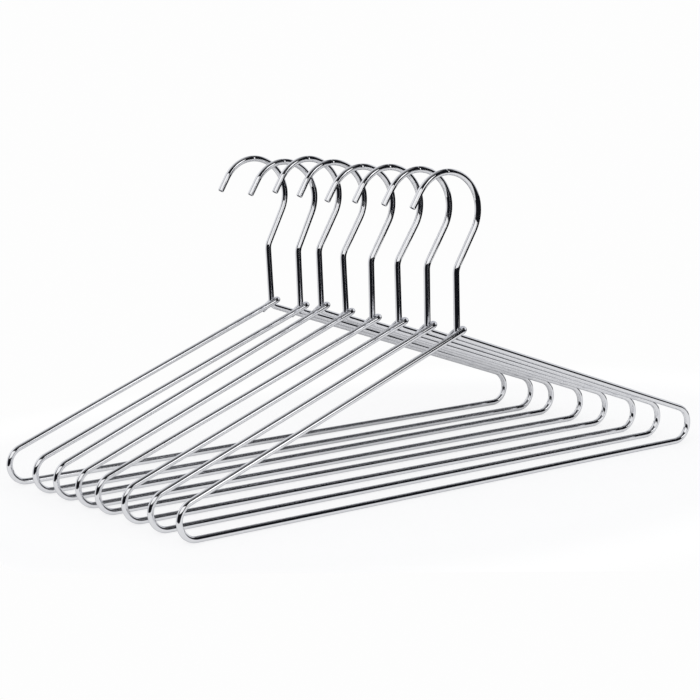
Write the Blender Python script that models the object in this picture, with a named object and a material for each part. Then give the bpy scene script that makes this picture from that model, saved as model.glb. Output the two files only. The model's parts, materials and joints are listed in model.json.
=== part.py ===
"""Eight chromed wire suit hangers standing side by side on their bottom bars.

Each hanger is one length of round steel wire. From the hook's tip the wire makes the hook's
bow, slants back to the stem, drops to the neck and turns into the right arm. It rounds the
right end, runs back as the bottom bar, rounds the left end and climbs the left arm. There it
passes in front of the stem, turns round it and ends in a short tail behind it.

Units are metres. +X runs along the bottom bars, +Y from the front hanger to the rear one and
+Z up. The origin is on the floor, below the middle of the set.
"""

import math

import bpy
from mathutils import Matrix, Vector

# Wire
WIRE_DIAMETER = 0.004
WIRE_FACETS = 8

# Triangle: heights and bends are measured on the wire's centre line
HANGER_WIDTH = 0.410
ARM_SLOPE = math.radians(20.7)
END_BEND_RADIUS = 0.0117

# Stem, from the neck's corner to the corner below the hook's slanted run
STEM_OFFSET = 0.004
STEM_LENGTH = 0.042
STEM_BEND_RADIUS = 0.010
STEM_FOOT_RADIUS = 0.0045

# Hook
HOOK_SLANT = math.radians(31.6)
HOOK_RUN = 0.0271
HOOK_RADIUS = 0.0248
HOOK_END_ANGLE = math.radians(147)
HOOK_TIP_LENGTH = 0.0105

# Winding of the left arm's end round the foot of the stem
WRAP_CLEARANCE = 0.0005
TAIL_LENGTH = 0.0065
TAIL_SLOPE = math.radians(36)

# Row, from the front hanger to the rear one
ROW_DEPTH = 0.200
ROW_SHARES = (0.0, 0.153, 0.288, 0.44, 0.563, 0.713, 0.838, 1.0)
TURN_DEGREES = (0.0, -0.4, -1.2, -1.6, -1.3, -0.8, -1.4, -2.1)
LEAN_DEGREES = (-1.0, -1.5, 0.1, -0.9, 1.9, 0.8, 0.6, 2.4)

# How far each hanger is bent from the common arm slope and hook slant
SLOPE_SPREAD_DEGREES = (0.2, 0.2, 0.0, -0.2, 0.0, 0.3, -0.3, -0.3)
SLANT_SPREAD_DEGREES = (0.3, 0.8, 2.8, 0.2, 2.2, 0.6, -4.3, -2.6)

# Largest turn between two points of a bend
BEND_STEP = math.radians(12)

# Derived sizes: the facets' flats, not their corners, lie on the round wire's surface
WIRE_RADIUS = WIRE_DIAMETER / 2
HALF_FACET_ANGLE = math.pi / WIRE_FACETS
FACET_CORNER_RADIUS = WIRE_RADIUS / math.cos(HALF_FACET_ANGLE)
WRAP_RADIUS = 2 * FACET_CORNER_RADIUS + WRAP_CLEARANCE

CHROME_COLOUR = (0.80, 0.80, 0.82, 1.0)
CHROME_ROUGHNESS = 0.06


def clear_scene():
    """Remove every object that the scene holds."""
    for obj in list(bpy.data.objects):
        bpy.data.objects.remove(obj, do_unlink=True)


def steps_for(turn):
    """Number of equal steps that a bend of this angle takes."""
    return max(2, math.ceil(abs(turn) / BEND_STEP))


def bend(centre, first, turn):
    """Points of an arc that starts at first and turns about centre, counter-clockwise if positive."""
    steps = steps_for(turn)
    arm = first - centre
    return [centre + Matrix.Rotation(turn * step / steps, 2) @ arm for step in range(steps + 1)]


def rounded_corner(before, corner, after, radius):
    """Arc that rounds the corner between two straight runs, in the plane of the hanger."""
    heading_in = (corner - before).normalized()
    heading_out = (after - corner).normalized()
    side = 1 if heading_in.cross(heading_out) > 0 else -1
    turn = heading_in.angle(heading_out)
    first = corner - heading_in * radius * math.tan(turn / 2)
    towards_centre = Vector((-heading_in.y, heading_in.x)) * side
    return bend(first + towards_centre * radius, first, side * turn)


def hook_points(stem_top, slant):
    """Hook from its tip to the start of the slanted run, above the corner at the stem's top."""
    heading = Vector((math.sin(slant), math.cos(slant)))
    bow_start = stem_top + heading * HOOK_RUN
    bow_centre = bow_start + Vector((-heading.y, heading.x)) * HOOK_RADIUS
    bow = bend(bow_centre, bow_start, HOOK_END_ANGLE + slant)
    tip_heading = Vector((-math.sin(HOOK_END_ANGLE), math.cos(HOOK_END_ANGLE)))
    tip = bow[-1] + tip_heading * HOOK_TIP_LENGTH
    return [tip] + bow[::-1]


def flat_points(slope, slant):
    """Wire from the hook's tip to the end of the left bend, in the hanger's plane.

    The first coordinate runs along the bar and the second is the height over its centre line.
    """
    corner_reach = HANGER_WIDTH / 2 - WIRE_RADIUS - END_BEND_RADIUS
    corner_reach += END_BEND_RADIUS / math.tan(slope / 2)
    foot_height = (corner_reach - STEM_OFFSET) * math.tan(slope)
    stem_top = Vector((STEM_OFFSET, foot_height + STEM_LENGTH))
    stem_foot = Vector((STEM_OFFSET, foot_height))
    right_corner = Vector((corner_reach, 0))
    left_corner = Vector((-corner_reach, 0))
    apex = Vector((0, corner_reach * math.tan(slope)))

    points = hook_points(stem_top, slant)
    points += rounded_corner(points[-1], stem_top, stem_foot, STEM_BEND_RADIUS)
    points += rounded_corner(stem_top, stem_foot, right_corner, STEM_FOOT_RADIUS)
    points += rounded_corner(stem_foot, right_corner, left_corner, END_BEND_RADIUS)
    points += rounded_corner(right_corner, left_corner, apex, END_BEND_RADIUS)
    return points


def wrap_points(left_bend_end, slope):
    """Half turn round the stem's right side, from the front to the back, and the tail after it."""
    front_height = left_bend_end.z + (STEM_OFFSET - left_bend_end.x) * math.tan(slope)
    half_turn = math.pi * WRAP_RADIUS
    rise_in = half_turn * math.tan(slope)
    fall_out = -half_turn * math.tan(TAIL_SLOPE)
    drop = (rise_in + fall_out) / 2
    steps = steps_for(math.pi)
    points = []
    for step in range(steps + 1):
        share = step / steps
        angle = math.pi * (share - 0.5)
        # Cubic climb that meets the arm's slope at the front and the tail's slope at the back
        height = rise_in * (share - 2 * share**2 + share**3)
        height += fall_out * (share**3 - share**2)
        height += drop * (3 * share**2 - 2 * share**3)
        across = STEM_OFFSET + WRAP_RADIUS * math.cos(angle)
        points.append(Vector((across, WRAP_RADIUS * math.sin(angle), front_height + height)))
    tail_heading = Vector((-math.cos(TAIL_SLOPE), 0, -math.sin(TAIL_SLOPE)))
    points.append(points[-1] + tail_heading * TAIL_LENGTH)
    return points


def hanger_points(slope, slant):
    """Centre line of a hanger's wire, about the middle of its bottom bar."""
    points = [Vector((point.x, 0, point.y)) for point in flat_points(slope, slant)]
    return points + wrap_points(points[-1], slope)


def chrome_material():
    """Bright chrome plating."""
    material = bpy.data.materials.new("chrome_plated_wire")
    material.use_nodes = True
    shader = material.node_tree.nodes["Principled BSDF"]
    shader.inputs["Base Color"].default_value = CHROME_COLOUR
    shader.inputs["Metallic"].default_value = 1.0
    shader.inputs["Roughness"].default_value = CHROME_ROUGHNESS
    return material


def make_hanger(name, index, material, collection, carrier):
    """One hanger: a wire along the centre line, with a flat of its bottom bar on the floor."""
    slope = ARM_SLOPE + math.radians(SLOPE_SPREAD_DEGREES[index])
    slant = HOOK_SLANT + math.radians(SLANT_SPREAD_DEGREES[index])
    turn = math.radians(TURN_DEGREES[index])
    lean = math.radians(LEAN_DEGREES[index])
    curve = bpy.data.curves.new(name, "CURVE")
    curve.dimensions = "3D"
    curve.bevel_depth = FACET_CORNER_RADIUS
    curve.bevel_resolution = (WIRE_FACETS - 4) // 2
    curve.use_fill_caps = True
    points = hanger_points(slope, slant)
    spline = curve.splines.new("POLY")
    spline.points.add(len(points) - 1)
    for target, point in zip(spline.points, points):
        target.co = (*point, 1)
        target.tilt = HALF_FACET_ANGLE - lean
    curve.materials.append(material)
    hanger = bpy.data.objects.new(name, curve)
    collection.objects.link(hanger)
    hanger.parent = carrier
    hanger.location = (0, ROW_DEPTH * ROW_SHARES[index], WIRE_RADIUS)
    hanger.rotation_euler = (-lean, 0, turn)
    return hanger


def centre_on_origin(carrier, hangers):
    """Move the carrier so that the set's box is centred over the origin along X and Y."""
    bpy.context.view_layer.update()
    path = []
    for hanger in hangers:
        path += [hanger.matrix_world @ point.co.to_3d() for point in hanger.data.splines[0].points]
    for axis in range(2):
        values = [point[axis] for point in path]
        carrier.location[axis] -= (min(values) + max(values)) / 2


def main():
    """Build the row of hangers."""
    clear_scene()
    collection = bpy.data.collections.new("suit_hanger_set")
    bpy.context.scene.collection.children.link(collection)
    carrier = bpy.data.objects.new("hanger_row", None)
    collection.objects.link(carrier)
    material = chrome_material()
    hangers = []
    for index in range(len(ROW_SHARES)):
        hangers.append(make_hanger(f"hanger_{index + 1}", index, material, collection, carrier))
    centre_on_origin(carrier, hangers)


main()
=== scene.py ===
"""Row of chromed wire suit hangers: the wires, their plating and a plain studio stage.

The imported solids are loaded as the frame. A finer wire stands for each of them. It is drawn as
a wire bender makes it, from the hook's tip to the tail behind the neck: straight lengths are
extruded and bends are spun.

Units are metres, in the frame's axes: +X along the bottom bars, +Y from the front hanger to the
rear one and +Z up.
"""

import json
import math

import bpy
import numpy as np
from bpy.props import FloatProperty, FloatVectorProperty, IntProperty, PointerProperty
from mathutils import Matrix, Vector


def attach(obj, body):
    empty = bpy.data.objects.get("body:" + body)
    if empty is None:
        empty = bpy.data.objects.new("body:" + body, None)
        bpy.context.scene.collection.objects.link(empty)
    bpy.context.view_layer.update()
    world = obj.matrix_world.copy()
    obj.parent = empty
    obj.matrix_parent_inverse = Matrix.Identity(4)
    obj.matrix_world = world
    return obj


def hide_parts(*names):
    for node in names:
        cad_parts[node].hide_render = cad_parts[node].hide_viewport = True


bl_info = {
    "name": "Wire suit hangers",
    "version": (1, 0, 0),
    "blender": (4, 5, 0),
    "location": "3D View > Sidebar > Hangers",
    "description": "Builds a row of chromed wire suit hangers on a plain studio stage",
    "category": "Object",
}

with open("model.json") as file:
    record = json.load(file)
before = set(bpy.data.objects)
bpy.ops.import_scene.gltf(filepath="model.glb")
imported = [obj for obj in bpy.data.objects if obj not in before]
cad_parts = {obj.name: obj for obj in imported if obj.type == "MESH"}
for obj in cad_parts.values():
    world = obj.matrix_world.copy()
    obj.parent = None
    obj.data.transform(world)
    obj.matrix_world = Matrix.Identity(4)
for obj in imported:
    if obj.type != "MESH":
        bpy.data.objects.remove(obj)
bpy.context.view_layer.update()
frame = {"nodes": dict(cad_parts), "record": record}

HANGERS = sorted(frame["nodes"])
FRONT_PLACE = Vector(frame["record"]["mounts"][0]["pos_m"])
UP = Vector((0, 0, 1))
ALONG = Vector((1, 0, 0))
ACROSS = Vector((0, 1, 0))
SENSOR_WIDTH = 36


def radians(*degrees):
    """Angles in radians, as one number or as a tuple."""
    values = tuple(math.radians(angle) for angle in degrees)
    return values[0] if len(values) == 1 else values


class HangerSizes(bpy.types.PropertyGroup):
    """Sizes of the wire and of its bends, measured on the wire's centre line."""

    wire_diameter: FloatProperty(
        name="Wire diameter", description="Thickness of the round wire", default=0.004,
        unit="LENGTH")
    wire_sides: IntProperty(
        name="Wire sides", description="Faces round the wire", default=32, min=8)
    bend_step: FloatProperty(
        name="Bend step", description="Turn between two rings of a bend", default=radians(4),
        subtype="ANGLE")
    winding_step: FloatProperty(
        name="Winding step", description="Turn between two rings of the winding",
        default=radians(6), subtype="ANGLE")
    end_chamfer: FloatProperty(
        name="End chamfer", description="Chamfer round the wire's cut ends", default=0.00035,
        unit="LENGTH")
    hanger_width: FloatProperty(
        name="Hanger width", description="Overall width over both end bends", default=0.410,
        unit="LENGTH")
    arm_slope: FloatProperty(
        name="Arm slope", description="Slope of both arms above the bottom bar",
        default=radians(20.7), subtype="ANGLE")
    end_bend_radius: FloatProperty(
        name="End bend radius", description="Radius of the bends that join arm and bar",
        default=0.0117, unit="LENGTH")
    stem_offset: FloatProperty(
        name="Stem offset", description="Distance of the stem from the hanger's middle",
        default=0.004, unit="LENGTH")
    stem_length: FloatProperty(
        name="Stem length", description="From the neck's corner to the corner below the hook",
        default=0.042, unit="LENGTH")
    stem_bend_radius: FloatProperty(
        name="Stem bend radius", description="Radius of the bend at the stem's top",
        default=0.010, unit="LENGTH")
    stem_foot_radius: FloatProperty(
        name="Stem foot radius", description="Radius of the bend from the stem into the right arm",
        default=0.0045, unit="LENGTH")
    hook_slant: FloatProperty(
        name="Hook slant", description="Slant of the straight length below the hook's bow",
        default=radians(31.6), subtype="ANGLE")
    hook_run: FloatProperty(
        name="Hook run", description="Slanted length between the stem's top and the bow",
        default=0.0271, unit="LENGTH")
    hook_radius: FloatProperty(
        name="Hook radius", description="Radius of the hook's bow", default=0.0248, unit="LENGTH")
    hook_end: FloatProperty(
        name="Hook end", description="Where the bow ends, counted from its right side",
        default=radians(147), subtype="ANGLE")
    hook_tip: FloatProperty(
        name="Hook tip", description="Straight length at the hook's tip", default=0.0105,
        unit="LENGTH")
    wrap_clearance: FloatProperty(
        name="Winding clearance", description="Gap between the stem and the wire wound round it",
        default=0.0002, unit="LENGTH")
    tail_length: FloatProperty(
        name="Tail length", description="Straight end of the wire behind the stem",
        default=0.0065, unit="LENGTH")
    tail_slope: FloatProperty(
        name="Tail slope", description="Slope of the tail down to its end",
        default=radians(36), subtype="ANGLE")
    row_depth: FloatProperty(
        name="Row depth", description="From the front hanger's bar to the rear one's",
        default=0.200, unit="LENGTH")
    row_shares: FloatVectorProperty(
        name="Row shares", description="Place of each hanger as a share of the row's depth",
        default=(0.0, 0.153, 0.288, 0.44, 0.563, 0.713, 0.838, 1.0), size=8)
    turns: FloatVectorProperty(
        name="Turns", description="Turn of each hanger about the vertical",
        default=radians(0.0, -0.4, -1.2, -1.6, -1.3, -0.8, -1.4, -2.1), size=8, unit="ROTATION")
    leans: FloatVectorProperty(
        name="Leans", description="Lean of each hanger towards the rear",
        default=radians(-1.0, -1.5, 0.1, -0.9, 1.9, 0.8, 0.6, 2.4), size=8, unit="ROTATION")
    slope_spreads: FloatVectorProperty(
        name="Slope spreads", description="How far each hanger's arms differ from the arm slope",
        default=radians(0.2, 0.2, 0.0, -0.2, 0.0, 0.3, -0.3, -0.3), size=8, unit="ROTATION")
    slant_spreads: FloatVectorProperty(
        name="Slant spreads", description="How far each hanger's hook differs from the hook slant",
        default=radians(0.3, 0.8, 2.8, 0.2, 2.2, 0.6, -4.3, -2.6), size=8, unit="ROTATION")


class PlatingFinish(bpy.types.PropertyGroup):
    """Colours and wear of the chrome plating."""

    chrome: FloatVectorProperty(
        name="Chrome", description="Colour of the clean plating", default=(0.86, 0.865, 0.885),
        subtype="COLOR", size=3, min=0, max=1)
    smoky_chrome: FloatVectorProperty(
        name="Smoky chrome", description="Colour of the plating where it is a little clouded",
        default=(0.79, 0.795, 0.82), subtype="COLOR", size=3, min=0, max=1)
    bare_steel: FloatVectorProperty(
        name="Bare steel", description="Colour of the wire's cut ends", default=(0.16, 0.16, 0.18),
        subtype="COLOR", size=3, min=0, max=1)
    polish: FloatProperty(
        name="Polish", description="Roughness of the clean plating", default=0.035, min=0, max=1)
    haze: FloatProperty(
        name="Haze", description="Roughness added where the plating is clouded", default=0.07,
        min=0, max=1)
    rim: FloatVectorProperty(
        name="Rim", description="Tint of what the plating mirrors at a glancing angle",
        default=(0.42, 0.43, 0.46), subtype="COLOR", size=3, min=0, max=1)
    mark_place: FloatProperty(
        name="Tool mark's place", description="From the hook's tip to the bender's mark on the bow",
        default=0.0355, unit="LENGTH")
    mark_width: FloatProperty(
        name="Tool mark's width", description="From the middle of the mark to where it fades",
        default=0.000625, unit="LENGTH")
    mark_depth: FloatProperty(
        name="Tool mark's depth", description="Depth against the wire's own waviness", default=7.0,
        min=0)


class StageSettings(bpy.types.PropertyGroup):
    """Floor, lights, surroundings and camera."""

    floor_colour: FloatVectorProperty(
        name="Floor", description="Colour of the floor", default=(0.93, 0.935, 0.955),
        subtype="COLOR", size=3, min=0, max=1)
    floor_mottle: FloatProperty(
        name="Floor's mottle", description="Share of the floor's colour in its darker patches",
        default=0.985, min=0, max=1)
    floor_front: FloatProperty(
        name="Floor in front", description="From the front hanger's stem to the floor's near edge",
        default=0.44, unit="LENGTH")
    floor_corner: FloatProperty(
        name="Floor's cut corner", description="From the front hanger's stem to the near left cut",
        default=0.195, unit="LENGTH")
    floor_corner_turn: FloatProperty(
        name="Cut corner's turn", description="Direction that the cut is square to, from +Y to +X",
        default=radians(42), subtype="ANGLE")
    floor_left: FloatProperty(
        name="Floor on the left", description="From the hangers' middle to the floor's left edge",
        default=0.30, unit="LENGTH")
    floor_right: FloatProperty(
        name="Floor on the right", description="From the hangers' middle to the floor's right edge",
        default=0.42, unit="LENGTH")
    floor_rear: FloatProperty(
        name="Floor to the rear", description="From the front hanger to the floor's rear edge",
        default=2.0, unit="LENGTH")
    floor_glow: FloatProperty(
        name="Floor's glow", description="Brightness that lifts the floor under the row",
        default=1.12, min=0)
    white: FloatProperty(
        name="White", description="Brightness of the white background", default=0.985, min=0)
    fill: FloatProperty(
        name="Fill", description="Even light from all sides on matt surfaces", default=0.72, min=0)
    backdrop: FloatVectorProperty(
        name="Backdrop", description="Backdrop that the chrome mirrors",
        default=(1.0, 1.005, 1.03), subtype="COLOR", size=3, min=0, max=2)
    room_dark: FloatVectorProperty(
        name="Dark room", description="Unlit part of the studio that the chrome mirrors",
        default=(0.007, 0.0075, 0.010), subtype="COLOR", size=3, min=0, max=1)
    view_azimuth: FloatProperty(
        name="View azimuth", description="Direction that the camera looks in, from +Y to +X",
        default=radians(35.831), subtype="ANGLE")
    view_drop: FloatProperty(
        name="View drop", description="How far the camera looks down", default=radians(9.764),
        subtype="ANGLE")
    view_roll: FloatProperty(
        name="View roll", description="Turn of the camera about its line of sight",
        default=radians(-1.922), subtype="ANGLE")
    camera_place: FloatVectorProperty(
        name="Camera place", description="Camera's place from the foot of the front hanger's bar",
        default=(-0.8721, -1.1008, 0.3327), size=3, subtype="XYZ", unit="LENGTH")
    lens: FloatProperty(
        name="Lens", description="Focal length in millimetres on a 36 mm sensor", default=117.6)


def start_alone():
    """Leave edit mode and deselect everything, so that an operator acts on the new piece only."""
    if bpy.context.object and bpy.context.object.mode != "OBJECT":
        bpy.ops.object.mode_set(mode="OBJECT")
    bpy.ops.object.select_all(action="DESELECT")


class WireBender:
    """Draws one wire in edit mode. The selected ring is its working end.

    It keeps the ring's place, the heading of the wire and the side that the ring's first
    vertex points to, and lists them as stations for the finish.
    """

    def __init__(self, name, place, heading, radius, sides):
        start_alone()
        self.place = place.copy()
        self.heading = heading.normalized()
        self.side = ACROSS.copy()
        self.radius = radius
        self.length = 0.0
        self.stations = []
        turned = self.heading.to_track_quat("Z", "Y").to_euler()
        bpy.ops.mesh.primitive_circle_add(
            vertices=sides, radius=radius, fill_type="NOTHING", location=place, rotation=turned)
        bpy.ops.object.transform_apply(location=True, rotation=True, scale=True)
        self.wire = bpy.context.object
        self.wire.name = name
        self.wire.data.name = name
        bpy.ops.object.mode_set(mode="EDIT")
        bpy.ops.mesh.select_mode(type="VERT")
        bpy.ops.mesh.select_all(action="SELECT")

    def note(self, tightness):
        """List the ring that is selected now."""
        self.stations.append((
            self.place.copy(), self.heading.copy(), self.side.copy(), self.length, tightness))

    def chamfer(self, size, growing):
        """Chamfered edge of a cut end: the ring narrows or widens by the chamfer's size."""
        narrow = (self.radius - size) / self.radius
        if growing:
            self.scale_ring(narrow)
            self.note(0.0)
            self.run(size, listed=False)
            self.scale_ring(1 / narrow)
        else:
            self.run(size, listed=False)
            self.scale_ring(narrow)
        self.note(0.0)

    def scale_ring(self, factor):
        """Widen or narrow the selected ring about its own middle."""
        bpy.ops.transform.resize(value=(factor,) * 3, center_override=self.place)

    def run(self, length, listed=True):
        """Straight length of wire."""
        step = self.heading * length
        bpy.ops.mesh.extrude_region_move(TRANSFORM_OT_translate={"value": step})
        self.place += step
        self.length += length
        if listed:
            self.note(0.0)

    def bend(self, axis, angle, radius, steps):
        """Bend of the wire about an axis, right-handed, at a radius. Spin turns the other way."""
        axis = axis.normalized()
        centre = self.place + axis.cross(self.heading) * radius * (1 if angle > 0 else -1)
        bpy.ops.mesh.spin(steps=steps, angle=-angle, center=centre, axis=axis)
        for _ in range(steps):
            turn = Matrix.Rotation(angle / steps, 3, axis)
            self.place = centre + turn @ (self.place - centre)
            self.heading = turn @ self.heading
            self.side = turn @ self.side
            self.length += abs(angle) / steps * radius
            self.note(min(1.0, self.radius / radius))

    def curl_to(self, heading, length):
        """Short bend that turns the wire to a new heading over a length."""
        angle = self.heading.angle(heading)
        self.bend(self.heading.cross(heading), angle, length / angle, 1)

    def finish(self):
        """Close both ends and turn the faces outwards. Gives the finished wire's object."""
        bpy.ops.mesh.select_all(action="DESELECT")
        bpy.ops.mesh.select_non_manifold(
            extend=False, use_wire=False, use_multi_face=False, use_non_contiguous=False,
            use_verts=False)
        bpy.ops.mesh.edge_face_add()
        bpy.ops.mesh.select_all(action="SELECT")
        bpy.ops.mesh.normals_make_consistent(inside=False)
        bpy.ops.object.mode_set(mode="OBJECT")
        return self.wire


def corner_tangent(radius, turn):
    """Length that a rounded corner takes from the straight run on each of its sides."""
    return radius * math.tan(abs(turn) / 2)


def steps_for(turn, step):
    """Number of equal steps of about that size in a bend."""
    return max(2, round(abs(turn) / step))


def bend_hanger(name, sizes, slope, slant):
    """One hanger's wire, standing on its bar's centre line with the bar's middle at the origin."""
    radius = sizes.wire_diameter / 2
    step = sizes.bend_step
    corner_reach = sizes.hanger_width / 2 - radius - sizes.end_bend_radius
    corner_reach += sizes.end_bend_radius / math.tan(slope / 2)
    foot_height = (corner_reach - sizes.stem_offset) * math.tan(slope)
    stem_foot = Vector((sizes.stem_offset, 0, foot_height))
    stem_top = stem_foot + UP * sizes.stem_length

    # Hook: from its tip over the bow to the slanted run
    slanted = Vector((math.sin(slant), 0, math.cos(slant)))
    bow_start = stem_top + slanted * sizes.hook_run
    bow_centre = bow_start + Vector((-slanted.z, 0, slanted.x)) * sizes.hook_radius
    outwards = Vector((math.cos(sizes.hook_end), 0, math.sin(sizes.hook_end)))
    heading = ACROSS.cross(outwards)
    tip = bow_centre + outwards * sizes.hook_radius - heading * sizes.hook_tip
    wire = WireBender(name, tip, heading, radius, sizes.wire_sides)
    wire.chamfer(sizes.end_chamfer, growing=True)
    wire.run(sizes.hook_tip - sizes.end_chamfer)
    bow_turn = sizes.hook_end + slant
    wire.bend(ACROSS, bow_turn, sizes.hook_radius, steps_for(bow_turn, step))

    # Stem: slanted run, bend, straight down and the bend into the right arm
    foot_turn = math.pi / 2 - slope
    stem_taken = corner_tangent(sizes.stem_bend_radius, slant)
    foot_taken = corner_tangent(sizes.stem_foot_radius, foot_turn)
    wire.run(sizes.hook_run - stem_taken)
    wire.bend(ACROSS, -slant, sizes.stem_bend_radius, steps_for(slant, step))
    wire.run(sizes.stem_length - stem_taken - foot_taken)
    wire.bend(ACROSS, -foot_turn, sizes.stem_foot_radius, steps_for(foot_turn, step))

    # Right arm, end bend, bottom bar and end bend
    end_turn = math.pi - slope
    end_taken = corner_tangent(sizes.end_bend_radius, end_turn)
    arm_length = (corner_reach - sizes.stem_offset) / math.cos(slope)
    wire.run(arm_length - foot_taken - end_taken)
    wire.bend(ACROSS, end_turn, sizes.end_bend_radius, steps_for(end_turn, step))
    wire.run(2 * (corner_reach - end_taken))
    wire.bend(ACROSS, end_turn, sizes.end_bend_radius, steps_for(end_turn, step))

    # Left arm: it comes forward by the winding's radius on its way to the stem
    wrap_radius = sizes.wire_diameter + sizes.wrap_clearance
    reach = sizes.stem_offset - wire.place.x
    front = Vector((sizes.stem_offset, -wrap_radius, wire.place.z + reach * math.tan(slope)))
    along_arm = front - wire.place
    wire.curl_to(along_arm, radius)
    along_arm = front - wire.place
    wire.run(along_arm.length)

    # Winding: half a turn round the stem, whose pitch eases from the arm's slope to the tail's
    steps = steps_for(math.pi, sizes.winding_step)
    for number in range(steps):
        share = (number + 1) / steps
        turned = math.pi * share
        climb = math.tan(slope) * (1 - share) - math.tan(sizes.tail_slope) * share
        heading = Vector((math.cos(turned), math.sin(turned), climb))
        length = wrap_radius * math.pi / steps * heading.length
        wire.curl_to(heading.normalized(), length)
    wire.run(sizes.tail_length - sizes.end_chamfer)
    wire.chamfer(sizes.end_chamfer, growing=False)
    return wire.finish(), wire.stations


def unroll_wire(wire, stations):
    """Give the mesh the wire's own coordinates, which the plating's pattern follows.

    unrolled is the place round the wire and along it, in metres, and tightness is how sharply
    the wire is bent there. Each vertex takes them from the ring that it lies in: distance along
    the wire weighs more than distance across it.
    """
    beside_weight = 100
    mesh = wire.data
    points = np.array([vertex.co for vertex in mesh.vertices])
    places = np.array([station[0] for station in stations])
    headings = np.array([station[1] for station in stations])
    offsets = points[:, None] - places[None]
    beside = np.abs((offsets * headings[None]).sum(axis=2))
    nearest = (np.linalg.norm(offsets, axis=2) + beside_weight * beside).argmin(axis=1)
    unrolled = np.zeros((len(points), 3))
    tightness = np.zeros(len(points))
    for index, number in enumerate(nearest):
        place, heading, side, length, tight = stations[number]
        offset = Vector(points[index]) - place
        unrolled[index] = offset.dot(side), offset.dot(heading.cross(side)), length
        tightness[index] = tight
    mesh.attributes.new("unrolled", "FLOAT_VECTOR", "POINT")
    mesh.attributes["unrolled"].data.foreach_set("vector", unrolled.astype(np.float32).ravel())
    mesh.attributes.new("tightness", "FLOAT", "POINT")
    mesh.attributes["tightness"].data.foreach_set("value", tightness.astype(np.float32))


def place_hanger(wire, sizes, index):
    """Lean and turn the wire, stand it in its place in the row and keep that in its mesh."""
    start_alone()
    wire.select_set(True)
    bpy.context.view_layer.objects.active = wire
    forward = sizes.row_depth * sizes.row_shares[index]
    wire.location = FRONT_PLACE + Vector((0, forward, sizes.wire_diameter / 2))
    wire.rotation_euler = (-sizes.leans[index], 0, sizes.turns[index])
    bpy.ops.object.transform_apply(location=True, rotation=True, scale=True)


class Nodes:
    """Short calls that add and join the nodes of one tree."""

    def __init__(self, tree):
        self.tree = tree

    def add(self, kind, **settings):
        """Add a node and set its properties."""
        node = self.tree.nodes.new(kind)
        for name, value in settings.items():
            setattr(node, name, value)
        return node

    def join(self, source, target):
        """Link an output socket to an input socket."""
        self.tree.links.new(source, target)

    def math(self, operation, *values, clamp=False):
        """Math node whose inputs are sockets or numbers. Gives its output."""
        node = self.add("ShaderNodeMath", operation=operation, use_clamp=clamp)
        for socket, value in zip(node.inputs, values):
            if isinstance(value, bpy.types.NodeSocket):
                self.join(value, socket)
            else:
                socket.default_value = value
        return node.outputs[0]

    def step(self, value, low, high, first=0.0, last=1.0):
        """Smooth step from first at low to last at high."""
        node = self.add("ShaderNodeMapRange", interpolation_type="SMOOTHSTEP")
        self.join(value, node.inputs["Value"])
        names = ("From Min", "From Max", "To Min", "To Max")
        for name, number in zip(names, (low, high, first, last)):
            node.inputs[name].default_value = number
        return node.outputs["Result"]

    def blend(self, factor, first, last):
        """Mix of two values by a third, all sockets."""
        node = self.add("ShaderNodeMix", data_type="FLOAT")
        for name, socket in (("Factor", factor), ("A", first), ("B", last)):
            self.join(socket, node.inputs[name])
        return node.outputs["Result"]

    def noise(self, vector, scale, detail=2.0, roughness=0.5):
        """Noise texture on a vector. Gives its value."""
        node = self.add("ShaderNodeTexNoise")
        node.inputs["Scale"].default_value = scale
        node.inputs["Detail"].default_value = detail
        node.inputs["Roughness"].default_value = roughness
        self.join(vector, node.inputs["Vector"])
        return node.outputs["Fac"]

    def stretch(self, vector, factors):
        """Vector times three factors."""
        node = self.add("ShaderNodeVectorMath", operation="MULTIPLY")
        self.join(vector, node.inputs[0])
        node.inputs[1].default_value = factors
        return node.outputs["Vector"]


def new_group(name, inputs, outputs):
    """Empty shader node group with named sockets. Gives it with its input and output nodes."""
    group = bpy.data.node_groups.new(name, "ShaderNodeTree")
    for label, kind in inputs:
        group.interface.new_socket(label, in_out="INPUT", socket_type=kind)
    for label, kind in outputs:
        group.interface.new_socket(label, in_out="OUTPUT", socket_type=kind)
    nodes = Nodes(group)
    return group, nodes, nodes.add("NodeGroupInput"), nodes.add("NodeGroupOutput")


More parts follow.
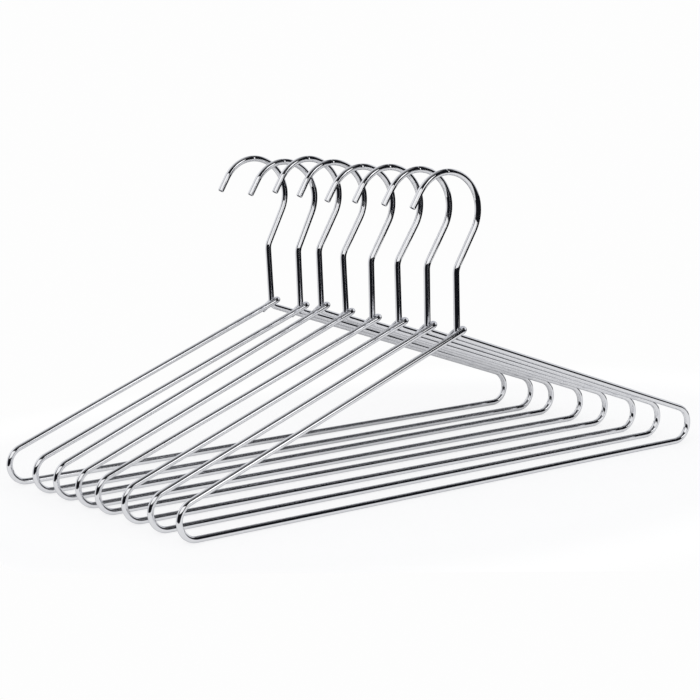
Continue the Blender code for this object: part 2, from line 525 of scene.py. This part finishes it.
def drawn_wire_group(finish):
    """Marks of a drawn, bent and plated wire.

    Cloud is where the plating is dull and Grain holds the fine lines that drawing leaves along
    the wire. Relief is the height of those lines, of the wire's waviness, of the ripple that
    bending leaves and of the bender's mark on the hook.
    """
    group, nodes, given, made = new_group(
        "drawn wire marks",
        [("Unrolled", "NodeSocketVector"), ("Object", "NodeSocketVector"),
         ("Tightness", "NodeSocketFloat")],
        [("Cloud", "NodeSocketFloat"), ("Grain", "NodeSocketFloat"), ("Relief", "NodeSocketFloat")])
    unrolled = given.outputs["Unrolled"]
    tight = given.outputs["Tightness"]

    patches = nodes.noise(given.outputs["Object"], scale=95, detail=3, roughness=0.6)
    patches = nodes.step(patches, low=0.50, high=0.78, last=0.5)
    strained = nodes.step(tight, low=0.10, high=0.45, last=0.55)
    cloud = nodes.math("ADD", patches, strained, clamp=True)
    nodes.join(cloud, made.inputs["Cloud"])

    lines = nodes.noise(
        nodes.stretch(unrolled, (1.0, 1.0, 0.012)), scale=2600, detail=3, roughness=0.6)
    grain = nodes.step(lines, low=0.35, high=0.75)
    nodes.join(grain, made.inputs["Grain"])

    wander = nodes.noise(
        nodes.stretch(unrolled, (1.0, 1.0, 0.5)), scale=60, detail=1, roughness=0.4)
    ripple = nodes.noise(unrolled, scale=420, detail=2, roughness=0.5)
    ripple = nodes.math("MULTIPLY", ripple, nodes.step(tight, low=0.05, high=0.5, last=0.3))
    relief = nodes.math("MULTIPLY_ADD", wander, 0.8, ripple)
    relief = nodes.math("MULTIPLY_ADD", grain, 0.012, relief)
    along = nodes.add("ShaderNodeSeparateXYZ")
    nodes.join(unrolled, along.inputs["Vector"])
    beside = nodes.math("SUBTRACT", along.outputs["Z"], finish.mark_place)
    beside = nodes.math("DIVIDE", beside, finish.mark_width)
    fading = nodes.math("MULTIPLY", nodes.math("MULTIPLY", beside, beside), -1.0)
    mark = nodes.math("EXPONENT", fading)
    relief = nodes.math("SUBTRACT", relief, nodes.math("MULTIPLY", mark, finish.mark_depth))
    nodes.join(relief, made.inputs["Relief"])
    return group


def plated_wire(finish, marks):
    """Bright chrome plating over drawn steel wire."""
    material = bpy.data.materials.new("chrome plated wire")
    material.use_nodes = True
    nodes = Nodes(material.node_tree)
    shader = material.node_tree.nodes["Principled BSDF"]
    shader.inputs["Metallic"].default_value = 1.0
    shader.inputs["Specular Tint"].default_value = (*finish.rim, 1)
    coords = nodes.add("ShaderNodeTexCoord")
    unrolled = nodes.add("ShaderNodeAttribute", attribute_name="unrolled")
    tightness = nodes.add("ShaderNodeAttribute", attribute_name="tightness")
    group = nodes.add("ShaderNodeGroup", node_tree=marks)
    nodes.join(unrolled.outputs["Vector"], group.inputs["Unrolled"])
    nodes.join(coords.outputs["Object"], group.inputs["Object"])
    nodes.join(tightness.outputs["Fac"], group.inputs["Tightness"])

    colour = nodes.add("ShaderNodeMix", data_type="RGBA")
    colour.inputs["A"].default_value = (*finish.chrome, 1)
    colour.inputs["B"].default_value = (*finish.smoky_chrome, 1)
    nodes.join(group.outputs["Cloud"], colour.inputs["Factor"])
    nodes.join(colour.outputs["Result"], shader.inputs["Base Color"])

    clouded = nodes.step(
        group.outputs["Cloud"], low=0, high=1, first=finish.polish,
        last=finish.polish + finish.haze)
    rough = nodes.math("MULTIPLY_ADD", group.outputs["Grain"], 0.02, clouded)
    nodes.join(rough, shader.inputs["Roughness"])

    bump = nodes.add("ShaderNodeBump")
    bump.inputs["Strength"].default_value = 0.35
    bump.inputs["Distance"].default_value = 0.00006
    nodes.join(group.outputs["Relief"], bump.inputs["Height"])
    nodes.join(bump.outputs["Normal"], shader.inputs["Normal"])
    return material


def cut_steel(finish):
    """Sheared end of the wire: dull steel with a torn grain under thin plating."""
    material = bpy.data.materials.new("cut wire end")
    material.use_nodes = True
    nodes = Nodes(material.node_tree)
    shader = material.node_tree.nodes["Principled BSDF"]
    shader.inputs["Metallic"].default_value = 1.0
    shader.inputs["Specular Tint"].default_value = (*finish.rim, 1)
    coords = nodes.add("ShaderNodeTexCoord")
    torn = nodes.noise(
        nodes.stretch(coords.outputs["Object"], (1.0, 1.0, 0.25)), scale=3500, detail=4,
        roughness=0.7)
    colour = nodes.add("ShaderNodeMix", data_type="RGBA")
    colour.inputs["A"].default_value = (*finish.bare_steel, 1)
    colour.inputs["B"].default_value = (*finish.smoky_chrome, 1)
    nodes.join(nodes.step(torn, low=0.5, high=0.9), colour.inputs["Factor"])
    nodes.join(colour.outputs["Result"], shader.inputs["Base Color"])
    rough = nodes.step(torn, low=0.3, high=0.7, first=0.38, last=0.2)
    nodes.join(rough, shader.inputs["Roughness"])
    bump = nodes.add("ShaderNodeBump")
    bump.inputs["Strength"].default_value = 0.5
    bump.inputs["Distance"].default_value = 0.00005
    nodes.join(torn, bump.inputs["Height"])
    nodes.join(bump.outputs["Normal"], shader.inputs["Normal"])
    return material


class HANGERS_OT_bend_wires(bpy.types.Operator):
    """Bend and plate the wire of every hanger in the row"""

    bl_idname = "hangers.bend_wires"
    bl_label = "Bend the hangers' wires"

    def execute(self, context):
        sizes = context.scene.hanger_sizes
        finish = context.scene.plating_finish
        plating = plated_wire(finish, drawn_wire_group(finish))
        cut = cut_steel(finish)
        for index, node in enumerate(HANGERS):
            slope = sizes.arm_slope + sizes.slope_spreads[index]
            slant = sizes.hook_slant + sizes.slant_spreads[index]
            wire, stations = bend_hanger(f"{node}_wire", sizes, slope, slant)
            unroll_wire(wire, stations)
            wire.data.materials.append(plating)
            wire.data.materials.append(cut)
            for face in wire.data.polygons:
                face.material_index = 1 if len(face.vertices) > 4 else 0
            place_hanger(wire, sizes, index)
            bpy.ops.object.shade_smooth_by_angle(angle=radians(30))
            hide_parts(node)
            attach(wire, node)
        return {"FINISHED"}


def floor_material(stage):
    """Pale floor under an even glow.

    To the camera it is nearly white and keeps a soft trace of the shadows near the row. In the
    chrome it is dimmer, most of all to the rear right, where the glow is cut down to paint shade
    into what the chrome mirrors.
    """
    material = bpy.data.materials.new("pale floor")
    material.use_nodes = True
    nodes = Nodes(material.node_tree)
    shader = material.node_tree.nodes["Principled BSDF"]
    output = material.node_tree.nodes["Material Output"]
    coords = nodes.add("ShaderNodeTexCoord")
    colour = nodes.add("ShaderNodeMix", data_type="RGBA")
    colour.inputs["A"].default_value = (*stage.floor_colour, 1)
    darker = tuple(stage.floor_mottle * value for value in stage.floor_colour)
    colour.inputs["B"].default_value = (*darker, 1)
    mottle = nodes.noise(coords.outputs["Object"], scale=12, detail=3, roughness=0.5)
    nodes.join(mottle, colour.inputs["Factor"])
    nodes.join(colour.outputs["Result"], shader.inputs["Base Color"])
    shader.inputs["Roughness"].default_value = 0.8
    shader.inputs["Specular IOR Level"].default_value = 0.1

    # Glow: full near the row and as bright as the background away from it
    away = nodes.add("ShaderNodeVectorMath", operation="LENGTH")
    nodes.join(nodes.stretch(coords.outputs["Object"], (0.8, 1.0, 1.0)), away.inputs[0])
    far = nodes.step(away.outputs["Value"], low=0.20, high=0.34)
    path = nodes.add("ShaderNodeLightPath")
    place = nodes.add("ShaderNodeSeparateXYZ")
    nodes.join(coords.outputs["Object"], place.inputs["Vector"])
    # Painted shade: to glossy rays the glow is a little lower everywhere and much lower towards the
    # rear right, a darker floor under the rear hangers that only the chrome shows
    dim = nodes.math(
        "MULTIPLY", nodes.step(place.outputs["X"], low=-0.12, high=0.06),
        nodes.step(place.outputs["Y"], low=-0.06, high=0.10))
    dim = nodes.math("MULTIPLY_ADD", dim, 0.5, 0.25)
    dim = nodes.math("MULTIPLY", path.outputs["Is Glossy Ray"], dim)
    near_glow = nodes.math("SUBTRACT", stage.floor_glow, dim)
    far_glow = nodes.math("MULTIPLY", near_glow, stage.white / stage.floor_glow)
    glow = nodes.add("ShaderNodeEmission")
    nodes.join(nodes.blend(far, near_glow, far_glow), glow.inputs["Strength"])

    # Veil: share of the glow over the lit floor
    seen = nodes.math(
        "MULTIPLY", path.outputs["Is Camera Ray"], nodes.step(far, low=0, high=1, first=0.6))
    veil = nodes.math("MULTIPLY_ADD", path.outputs["Is Glossy Ray"], 0.5, seen)
    mix = nodes.add("ShaderNodeMixShader")
    nodes.join(veil, mix.inputs["Fac"])
    nodes.join(shader.outputs["BSDF"], mix.inputs[1])
    nodes.join(glow.outputs["Emission"], mix.inputs[2])
    nodes.join(mix.outputs["Shader"], output.inputs["Surface"])
    return material


def surroundings(stage):
    """World: white to the camera, plain light to matt surfaces, and a studio to the chrome.

    The chrome sees a white backdrop behind the row, which runs out to the left and stands lower
    on the right, a dim ceiling and a dark room in front. Azimuth is counted from +Y to +X.
    """
    world = bpy.data.worlds.new("studio surroundings")
    bpy.context.scene.world = world
    world.use_nodes = True
    nodes = Nodes(world.node_tree)
    background = world.node_tree.nodes["Background"]
    coords = nodes.add("ShaderNodeTexCoord")
    split = nodes.add("ShaderNodeSeparateXYZ")
    nodes.join(coords.outputs["Generated"], split.inputs["Vector"])
    height = split.outputs["Z"]
    azimuth = nodes.math("ARCTAN2", split.outputs["X"], split.outputs["Y"])

    # Backdrop: its left side, its right side, its upper edge and its foot on the right
    left_low = nodes.step(azimuth, *radians(-80, -35))
    left_high = nodes.step(azimuth, *radians(-130, -20))
    left = nodes.blend(nodes.step(height, low=0.42, high=0.75), left_low, left_high)
    right = nodes.step(azimuth, *radians(89, 115), first=1.0, last=0.0)
    edge = nodes.step(azimuth, *radians(20, 55), first=0.90, last=0.62)
    over_edge = nodes.math("SUBTRACT", height, edge)
    below_edge = nodes.step(over_edge, low=-0.08, high=0.10, first=1.0, last=0.03)
    low = nodes.step(height, low=-0.01, high=0.03, first=1.0, last=0.0)
    foot = nodes.math("MULTIPLY", low, nodes.step(azimuth, *radians(20, 50)))
    backdrop = nodes.math("MULTIPLY", nodes.math("MULTIPLY", left, right), below_edge)
    backdrop = nodes.math("MULTIPLY", backdrop, nodes.math("SUBTRACT", 1.0, foot))

    # Ceiling: dim, and dimmer in front
    overhead = nodes.step(height, low=0.84, high=0.94)
    dimming = nodes.step(split.outputs["Y"], low=-0.4, high=0.1, first=0.10, last=0.32)
    studio = nodes.math("MAXIMUM", backdrop, nodes.math("MULTIPLY", overhead, dimming))
    room = nodes.add("ShaderNodeMix", data_type="RGBA")
    room.inputs["A"].default_value = (*stage.room_dark, 1)
    room.inputs["B"].default_value = (*stage.backdrop, 1)
    nodes.join(studio, room.inputs["Factor"])

    path = nodes.add("ShaderNodeLightPath")
    lit = nodes.add("ShaderNodeMix", data_type="RGBA")
    nodes.join(path.outputs["Is Glossy Ray"], lit.inputs["Factor"])
    lit.inputs["A"].default_value = (stage.fill,) * 3 + (1,)
    nodes.join(room.outputs["Result"], lit.inputs["B"])
    shown = nodes.add("ShaderNodeMix", data_type="RGBA")
    nodes.join(path.outputs["Is Camera Ray"], shown.inputs["Factor"])
    nodes.join(lit.outputs["Result"], shown.inputs["A"])
    shown.inputs["B"].default_value = (stage.white,) * 3 + (1,)
    nodes.join(shown.outputs["Result"], background.inputs["Color"])


def add_softbox(name, azimuth, distance, span, heights, brightness):
    """Upright area lamp that faces the row. The camera doesn't see it, the chrome does.

    Its plane stands at a distance from the front stem in the direction of the azimuth. The span
    is counted along the plane, to the right as seen from the row.
    """
    outwards = Vector((math.sin(azimuth), math.cos(azimuth), 0))
    sideways = Vector((math.cos(azimuth), -math.sin(azimuth), 0))
    middle = FRONT_PLACE + outwards * distance + sideways * sum(span) / 2 + UP * sum(heights) / 2
    facing = outwards.to_track_quat("Z", "Y").to_euler()
    bpy.ops.object.light_add(type="AREA", location=middle, rotation=facing)
    lamp = bpy.context.object
    lamp.name = name
    lamp.data.shape = "RECTANGLE"
    lamp.data.size = span[1] - span[0]
    lamp.data.size_y = heights[1] - heights[0]
    lamp.data.energy = brightness * lamp.data.size * lamp.data.size_y * math.pi
    lamp.visible_camera = False


def lay_floor(stage):
    """Sheet under the row, whose near left corner is cut off."""
    start_alone()
    bpy.ops.mesh.primitive_plane_add(size=2 * stage.floor_rear, location=FRONT_PLACE)
    floor = bpy.context.object
    floor.name = "floor"
    bpy.ops.object.transform_apply(location=True, rotation=True, scale=True)
    turn = stage.floor_corner_turn
    edges = (
        (ACROSS, stage.floor_front),
        (ALONG, stage.floor_left),
        (-ALONG, stage.floor_right),
        (ALONG * math.sin(turn) + ACROSS * math.cos(turn), stage.floor_corner),
    )
    bpy.ops.object.mode_set(mode="EDIT")
    for inwards, distance in edges:
        bpy.ops.mesh.select_all(action="SELECT")
        bpy.ops.mesh.bisect(
            plane_co=FRONT_PLACE - inwards * distance, plane_no=inwards, clear_inner=True)
    bpy.ops.object.mode_set(mode="OBJECT")
    floor.data.materials.append(floor_material(stage))
    return floor


def add_camera(stage):
    """Camera at the photo's place and angle."""
    sight = Vector((math.sin(stage.view_azimuth), math.cos(stage.view_azimuth), 0))
    right = Vector((math.cos(stage.view_azimuth), -math.sin(stage.view_azimuth), 0))
    forward = sight * math.cos(stage.view_drop) - UP * math.sin(stage.view_drop)
    over = right.cross(forward)
    rolled_right = right * math.cos(stage.view_roll) + over * math.sin(stage.view_roll)
    rolled_up = over * math.cos(stage.view_roll) - right * math.sin(stage.view_roll)
    start_alone()
    bpy.ops.object.camera_add()
    camera = bpy.context.object
    camera.name = "camera"
    camera.data.sensor_width = SENSOR_WIDTH
    camera.data.lens = stage.lens
    turned = Matrix((rolled_right, rolled_up, -forward)).transposed().to_4x4()
    camera.matrix_world = Matrix.Translation(FRONT_PLACE + Vector(stage.camera_place)) @ turned
    return camera


class HANGERS_OT_set_stage(bpy.types.Operator):
    """Set the floor, the studio's surroundings, the softboxes and the camera"""

    bl_idname = "hangers.set_stage"
    bl_label = "Set the stage"

    def execute(self, context):
        stage = context.scene.stage_settings
        lay_floor(stage)
        surroundings(stage)
        start_alone()
        add_softbox(
            "left softbox", azimuth=radians(-106), distance=3.0, span=(-10.5, 0.5),
            heights=(1.2, 4.0), brightness=1.0)
        add_softbox(
            "front softbox", azimuth=radians(162.6), distance=8.0, span=(-1.04, 1.04),
            heights=(0.2, 6.0), brightness=1.5)
        context.scene.camera = add_camera(stage)
        context.scene.view_settings.view_transform = "Standard"
        return {"FINISHED"}


class HANGERS_PT_panel(bpy.types.Panel):
    """Sizes, finish and stage of the hangers, with a button for each step"""

    bl_idname = "HANGERS_PT_panel"
    bl_label = "Wire suit hangers"
    bl_space_type = "VIEW_3D"
    bl_region_type = "UI"
    bl_category = "Hangers"

    def draw(self, context):
        for group in (context.scene.hanger_sizes, context.scene.plating_finish):
            box = self.layout.box()
            for name in group.__annotations__:
                box.prop(group, name)
        self.layout.operator(HANGERS_OT_bend_wires.bl_idname)
        box = self.layout.box()
        for name in context.scene.stage_settings.__annotations__:
            box.prop(context.scene.stage_settings, name)
        self.layout.operator(HANGERS_OT_set_stage.bl_idname)


CLASSES = (
    HangerSizes,
    PlatingFinish,
    StageSettings,
    HANGERS_OT_bend_wires,
    HANGERS_OT_set_stage,
    HANGERS_PT_panel,
)


def register():
    """Make the classes and the scene's settings known to Blender."""
    for each in CLASSES:
        bpy.utils.register_class(each)
    bpy.types.Scene.hanger_sizes = PointerProperty(type=HangerSizes)
    bpy.types.Scene.plating_finish = PointerProperty(type=PlatingFinish)
    bpy.types.Scene.stage_settings = PointerProperty(type=StageSettings)


def unregister():
    """Take the settings and the classes away again."""
    del bpy.types.Scene.stage_settings
    del bpy.types.Scene.plating_finish
    del bpy.types.Scene.hanger_sizes
    for each in reversed(CLASSES):
        bpy.utils.unregister_class(each)


def main():
    """Build the hangers and the stage."""
    register()
    bpy.ops.hangers.bend_wires()
    bpy.ops.hangers.set_stage()


if __name__ == "__main__":
    main()
